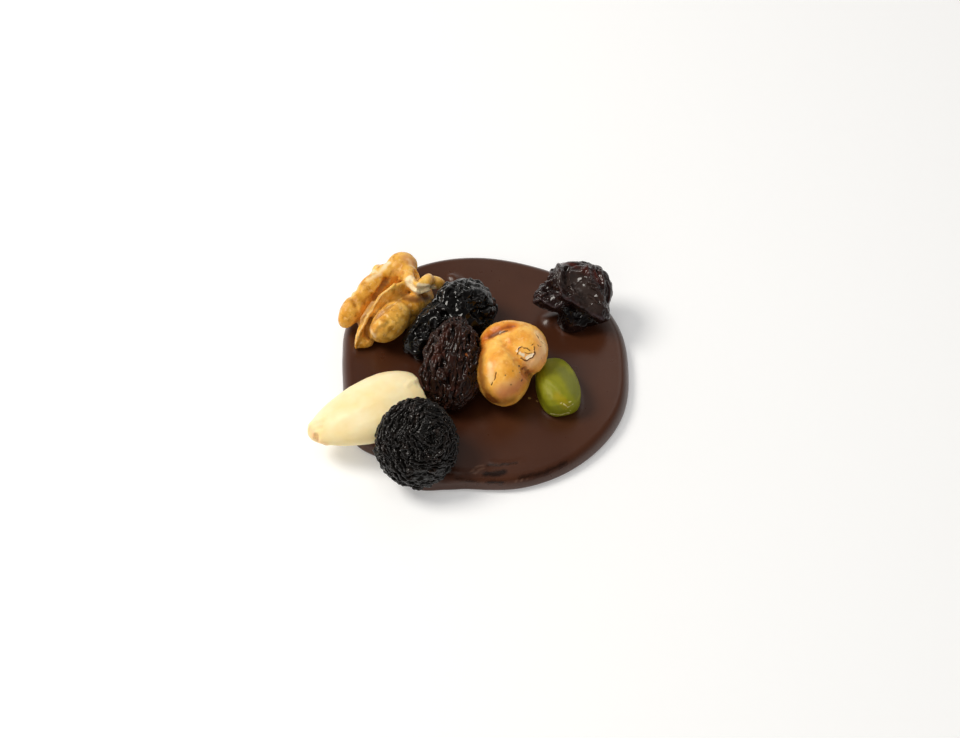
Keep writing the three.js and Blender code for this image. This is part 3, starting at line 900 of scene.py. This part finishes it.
makeKernel("walnut", "walnutPiece", walnut, walnutMaterial())


# raisins and dried cherry

driedSkin = {
    "grain": 0.2,
    "easing": 14,
    "carvingWaver": 0.3,     # mm by which strokes stray from their paths
    "markWaver": 0.5,
    # the crease tone is painted shade
    "hollowReach": 0.05,     # mm below or above the skin around, where a crease or ridge has its full tone
    "ior": 1.46,
}

plainFold = {                # what a layer of folds has unless it says otherwise
    "stretch": (1, 1, 1),
    "patch": 3.0,            # size in mm of the stretches where folds are bold or calm
    "calm": 0.35,            # share of the depth left where they are calm
    "bold": 1.15,            # and where they are bold
    "fullness": 0.8,         # below one, ridges are full and creases narrow
    "sunk": 0.55,            # share of the depth that lies below the skin
}


def ownPlace(tree, place, heart, turn):
    # the position in mm in a topping's own turned frame, with its heart at zero
    turned = addNode(tree, "ShaderNodeVectorRotate",
                     {"rotation_type": "EULER_XYZ", "invert": True, "Center": heart,
                      "Rotation": [math.radians(angle) for angle in turn]}, {"Vector": place})
    return addNode(tree, "ShaderNodeVectorMath", {"operation": "SUBTRACT", 1: heart}, {0: turned})


def wandering(tree, own, fold):
    # a slow noise that pushes folds off their straight course
    laid = addNode(tree, "ShaderNodeVectorMath", {"operation": "MULTIPLY", 1: fold["stretch"]}, {0: own})
    noise = addNode(tree, "ShaderNodeTexNoise",
                    {"noise_dimensions": "4D", "W": fold["seed"], "Scale": 1 / fold["wanderSize"],
                     "Detail": 2, "Roughness": 0.55}, {"Vector": laid})
    return addNode(tree, "ShaderNodeMath",
                   {"operation": "MULTIPLY_ADD", 1: 2 * fold["wander"], 2: -fold["wander"]}, {0: noise})


def foldCourse(tree, own, fold):
    # a number that goes up by one from each crease to the next
    apart = addNode(tree, "ShaderNodeSeparateXYZ", links={0: own})
    if fold["run"] == "along":  # creases run from end to end
        around = addNode(tree, "ShaderNodeMath", {"operation": "ARCTAN2"},
                         {0: apart.outputs["Z"], 1: apart.outputs["Y"]})
        course = addNode(tree, "ShaderNodeMath", {"operation": "MULTIPLY", 1: fold["count"] / (2 * math.pi)},
                         {0: around})
    elif fold["run"] == "rings":  # creases circle the stem scar
        away = addNode(tree, "ShaderNodeVectorMath", {"operation": "LENGTH"}, {0: own})
        spiral = addNode(tree, "ShaderNodeMath", {"operation": "ARCTAN2"},
                         {0: apart.outputs["Y"], 1: apart.outputs["X"]})
        wound = addNode(tree, "ShaderNodeMath", {"operation": "MULTIPLY", 1: fold["arms"] / (2 * math.pi)},
                        {0: spiral})
        course = addNode(tree, "ShaderNodeMath", {"operation": "MULTIPLY_ADD", 1: 1 / fold["spacing"]},
                         {0: away.outputs["Value"], 2: wound})
    else:  # creases follow the level lines of a slow noise
        drawn = addNode(tree, "ShaderNodeVectorMath", {"operation": "MULTIPLY", 1: fold["stretch"]}, {0: own})
        noise = addNode(tree, "ShaderNodeTexNoise",
                        {"noise_dimensions": "4D", "W": fold["seed"] + 3, "Scale": 1 / fold["size"],
                         "Detail": 1.5}, {"Vector": drawn})
        course = addNode(tree, "ShaderNodeMath", {"operation": "MULTIPLY", 1: fold["count"]}, {0: noise})
    return addNode(tree, "ShaderNodeMath", {"operation": "ADD"}, {0: course, 1: wandering(tree, own, fold)})


def folded(piece, fruit):
    # each layer of folds sinks the skin along its creases and leaves round ridges between them
    for number, layer in enumerate(fruit["folds"]):
        fold = {**plainFold, **layer}
        tree, geometry, place = reliefTree(f"{piece.name}Folds{number}")
        heart = seenPoint(piece, fold["scar"]) / mm if "scar" in fold else fruit["at"]
        own = ownPlace(tree, place, heart, fruit["turn"])
        turn = addNode(tree, "ShaderNodeMath", {"operation": "MULTIPLY", 1: math.pi},
                       {0: foldCourse(tree, own, fold)})
        wave = addNode(tree, "ShaderNodeMath", {"operation": "SINE"}, {0: turn})
        ridge = addNode(tree, "ShaderNodeMath", {"operation": "ABSOLUTE"}, {0: wave})
        shaped = addNode(tree, "ShaderNodeMath", {"operation": "POWER", 1: fold["fullness"]}, {0: ridge})
        uneven = addNode(tree, "ShaderNodeTexNoise",
                         {"noise_dimensions": "4D", "W": fold["seed"] + 7, "Scale": 1 / fold["patch"],
                          "Detail": 1}, {"Vector": own})
        strength = addNode(tree, "ShaderNodeMapRange",
                           {"From Min": 0.34, "From Max": 0.6,
                            "To Min": fold["calm"], "To Max": fold["bold"]}, {"Value": uneven})
        sunk = addNode(tree, "ShaderNodeMath",
                       {"operation": "MULTIPLY_ADD", 1: fold["depth"] * mm,
                        2: -fold["sunk"] * fold["depth"] * mm}, {0: shaped})
        height = addNode(tree, "ShaderNodeMath", {"operation": "MULTIPLY"}, {0: sunk, 1: strength})
        raisedBy(piece, tree, geometry, addNode(tree, "GeometryNodeInputNormal"), height)


def driedSkinMaterial(name, fruit):
    # shrivelled fruit skin: near black and waxy, with a warm tint where the skin is thin and painted shade in
    # its creases
    skin, reach = fruit["skin"], driedSkin["hollowReach"]
    material, tree, shader, place = newMaterial(name)
    hollow = addNode(tree, "ShaderNodeAttribute", {"attribute_name": "hollow"})
    sunk = addNode(tree, "ShaderNodeMapRange", {"From Min": -reach, "From Max": reach},
                   {"Value": hollow.outputs["Fac"]})
    spots = addNode(tree, "ShaderNodeTexNoise", {"Scale": 0.45, "Detail": 3}, {"Vector": place})
    thin = addNode(tree, "ShaderNodeMapRange", {"From Min": 0.52, "From Max": 0.72}, {"Value": spots})
    colour = laidOver(tree, blended(tree, thin, skin["ridge"], skin["thin"]), sunk, skin["crease"])
    feed(tree, shader, "Base Color", painted(tree, colour, fruit["coats"]))
    fine = addNode(tree, "ShaderNodeTexNoise", {"Scale": 2.2, "Detail": 2}, {"Vector": place})
    bump = addNode(tree, "ShaderNodeBump", {"Strength": skin["bump"], "Distance": 0.1 * mm}, {"Height": fine})
    feed(tree, shader, "Normal", bump)
    setOn(shader, {"Roughness": skin["roughness"], "IOR": driedSkin["ior"],
                   "Specular IOR Level": skin["shine"]})
    return material


def makeDriedFruit(node, name, fruit):
    piece = castFrom(node, name, driedSkin["grain"], driedSkin["easing"])
    folded(piece, fruit)
    carved(piece, fruit["carving"], driedSkin["carvingWaver"])
    hollowsMarked(piece)
    for mark, strokes in fruit["marks"].items():
        marked(piece, mark, strokes, driedSkin["markWaver"])
    finished(piece, node, driedSkinMaterial(name + "Skin", fruit))


# A layer of folds has its course, its spacing or size in mm and count, how far and over what length in mm it
# wanders, its depth in mm and its seed.

blackRaisin = {
    "at": (-6.3, 6.0, 7.3), "turn": (0, 0, 44),
    "folds": [
        {"run": "noise", "size": 4.2, "count": 5, "stretch": (0.6, 1, 1), "wander": 0.5, "wanderSize": 2.0,
         "depth": 1.0, "seed": 1.0},
        {"run": "noise", "size": 2.4, "count": 3, "stretch": (0.5, 1, 1), "wander": 0.25, "wanderSize": 1.4,
         "depth": 0.42, "calm": 0.0, "seed": 2.0},
    ],
    "carving": {
        "lowHollow": ([(418, 332), (424, 330), (432, 332)], 1.6, -0.8),
        "rightHollow": ([(470, 303), (474, 311), (482, 318)], 1.2, -0.5),
        "topRidge": ([(444, 281), (451, 285), (460, 288)], 0.7, 0.3),
        "middleHollow": ([(457, 300), (452, 310), (444, 316)], 1.2, -0.4),
        "curledRidge": ([(455, 283), (462, 286), (464, 292), (459, 296)], 0.5, 0.35),
    },
    "marks": {},
    "skin": {"ridge": "#0f0d0c", "crease": "#040303", "thin": "#181110",
             "roughness": 0.1, "shine": 0.34, "bump": 0.06},
    "coats": [],
}

brownRaisin = {
    "at": (-5.8, -3.9, 8.6), "turn": (0, -24, 84),
    "folds": [
        {"run": "along", "count": 9, "wander": 2.6, "wanderSize": 3.0, "stretch": (0.5, 1, 1), "depth": 0.75,
         "seed": 3.0},
        {"run": "noise", "size": 1.8, "count": 4, "stretch": (0.35, 1, 1), "wander": 0.4, "wanderSize": 0.9,
         "depth": 0.5, "calm": 0.15, "seed": 4.0},
        {"run": "noise", "size": 0.9, "count": 3, "stretch": (0.6, 1, 1), "wander": 0.1, "wanderSize": 0.6,
         "depth": 0.26, "calm": 0.1, "seed": 4.5},
    ],
    "carving": {
        "leftCrease": ([(458, 318), (452, 332), (447, 348), (443, 366)], 0.8, -0.5),
        "middleCrease": ([(465, 322), (468, 340), (466, 358), (462, 378)], 0.7, -0.45),
        "rightCrease": ([(476, 330), (478, 345), (474, 362)], 0.8, -0.4),
        "topRidge": ([(461, 318), (460, 334), (456, 350)], 0.5, 0.35),
    },
    "marks": {
        "thin": [([(449, 326), (441, 342), (436, 358)], 1.2, 1.0), ([(480, 330), (486, 345)], 1.0, 0.6)],
        "amber": [([(466, 354), (467, 356)], 0.36, 1.0)],
    },
    "skin": {"ridge": "#2c1912", "crease": "#090403", "thin": "#42221a",
             "roughness": 0.18, "shine": 0.3, "bump": 0.12},
    "coats": [("thin", 0.2, 1.2, "#3e1e14"), ("amber", 0.3, 0.9, "#8c4c1c")],
}

roundRaisin = {
    "at": (-11.8, -20.4, 7.6), "turn": (38, 0, 0),
    "folds": [
        {"run": "rings", "scar": (432, 437), "spacing": 1.4, "arms": 0, "wander": 3.0, "wanderSize": 4.5,
         "depth": 0.65, "patch": 2.0, "seed": 5.0},
        {"run": "rings", "scar": (436, 430), "spacing": 0.85, "arms": 2, "wander": 3.2, "wanderSize": 3.0,
         "depth": 0.48, "patch": 1.4, "calm": 0.1, "seed": 6.0},
        {"run": "rings", "scar": (428, 442), "spacing": 0.55, "arms": 1, "wander": 2.2, "wanderSize": 2.2,
         "depth": 0.2, "patch": 1.2, "calm": 0.0, "seed": 6.2},
        {"run": "noise", "size": 0.9, "count": 2, "wander": 0.1, "wanderSize": 0.6, "depth": 0.12,
         "seed": 6.5},
    ],
    "carving": {
        "stemScar": ([(432, 437)], 1.6, -0.7),
        "aboveScar": ([(425, 430), (437, 428)], 1.0, -0.3),
        "belowScar": ([(420, 445), (430, 452)], 1.0, -0.3),
    },
    "marks": {},
    "skin": {"ridge": "#171412", "crease": "#050403", "thin": "#241a15",
             "roughness": 0.14, "shine": 0.38, "bump": 0.1},
    "coats": [],
}

driedCherry = {
    "at": (15.2, 11.4, 7.6), "turn": (0, 0, 0),
    "folds": [
        {"run": "noise", "size": 6.0, "count": 2, "wander": 0.4, "wanderSize": 2.6, "depth": 0.3,
         "seed": 8.0},
        {"run": "noise", "size": 2.4, "count": 3, "wander": 0.3, "wanderSize": 1.4, "depth": 0.2,
         "calm": 0.0, "patch": 4.0, "seed": 9.0},
        {"run": "noise", "size": 1.0, "count": 2, "wander": 0.2, "wanderSize": 0.8, "depth": 0.14,
         "calm": 0.0, "patch": 3.0, "seed": 9.5},
    ],
    "carving": {
        "facet": ([(578, 284), (584, 292), (590, 300)], 4.4, -1.3),
        "facetLip": ([(562, 295), (571, 300), (580, 306), (590, 312), (601, 317)], 1.0, 0.8),
        "underFlap": ([(570, 312), (583, 319), (596, 325)], 2.0, -1.5),
        "facetFold": ([(567, 268), (565, 278), (565, 287), (568, 294)], 0.8, -0.8),
        "facetShoulder": ([(557, 262), (561, 274), (560, 287), (563, 295)], 0.7, 0.5),
        "facetBrow": ([(569, 272), (580, 271), (587, 268)], 0.7, 0.4),
        "leftHollow": ([(546, 288), (551, 290)], 1.2, -1.0),
        "smallHollow": ([(557, 291)], 0.9, -0.7),
        "aboveHollow": ([(540, 285), (549, 283), (556, 279)], 0.6, 0.45),
        "belowHollow": ([(541, 296), (550, 292), (554, 287)], 0.5, 0.4),
        "leftRidge": ([(550, 268), (552, 276), (546, 281)], 0.6, 0.35),
        "flapEdge": ([(533, 303), (541, 299), (549, 304), (556, 307), (562, 303)], 0.5, 0.45),
        "wetHook": ([(588, 282), (594, 284), (598, 286), (597, 289), (592, 287)], 0.5, 0.5),
        "lowWrinkle": ([(589, 293), (593, 298), (598, 303)], 0.55, 0.5),
        "middleWrinkle": ([(577, 293), (581, 298)], 0.55, 0.45),
        "topWrinkle": ([(586, 267), (589, 274), (592, 279)], 0.5, 0.45),
        "topRightWrinkle": ([(592, 268), (596, 276), (598, 281)], 0.5, 0.45),
        "facetWrinkle": ([(568, 280), (574, 290)], 0.5, 0.3),
        "rightWrinkle": ([(600, 290), (604, 300)], 0.5, 0.4),
        "rightRidge": ([(599, 272), (603, 281), (604, 292), (602, 304)], 0.5, 0.3),
        "rightShoulder": ([(598, 268), (604, 275)], 1.6, 0.6),
        "rightCrease": ([(607, 282), (609, 290), (608, 302)], 0.4, -0.25),
        "flapWrinkle": ([(593, 316), (599, 319), (605, 317)], 0.5, 0.35),
    },
    "marks": {
        # the broad facet lightened as a painted sheen
        "facet": [([(574, 282), (582, 290), (591, 302)], 4.2, 1.0), ([(556, 268), (559, 280)], 1.2, 0.6)],
        # painted shade under the cap
        "under": [([(566, 312), (578, 318), (592, 325)], 2.0, 1.2), ([(560, 316), (566, 328)], 1.8, 0.8)],
        "red": [([(558, 262), (566, 263), (576, 266)], 0.9, 1.0),
                ([(584, 268), (594, 274), (600, 280)], 1.8, 0.9)],
        # painted highlights along the lit edges of the lips and the flap
        "pale": [([(562, 296), (571, 301), (580, 307), (590, 313), (601, 318)], 0.5, 0.8),
                 ([(533, 303), (541, 300), (549, 305), (556, 308), (562, 304)], 0.4, 0.9),
                 ([(593, 316), (600, 320), (605, 318)], 0.9, 0.6)],
    },
    "skin": {"ridge": "#2c1c1a", "crease": "#100807", "thin": "#381812",
             "roughness": 0.14, "shine": 0.37, "bump": 0.1},
    # the facet coat is a painted sheen, the pale coat painted highlights on the lips, the under coat painted
    # shade; the red is the skin's own
    "coats": [("facet", 0.1, 1.2, "#3e332f"), ("red", 0.2, 1.4, "#4a1c14"), ("pale", 0.2, 1.2, "#40363a"),
              ("under", 0.1, 0.9, "#070303")],
}

makeDriedFruit("raisin_black", "blackRaisin", blackRaisin)
makeDriedFruit("raisin_brown", "brownRaisin", brownRaisin)
makeDriedFruit("raisin_round", "roundRaisin", roundRaisin)
makeDriedFruit("dried_cherry", "driedCherry", driedCherry)
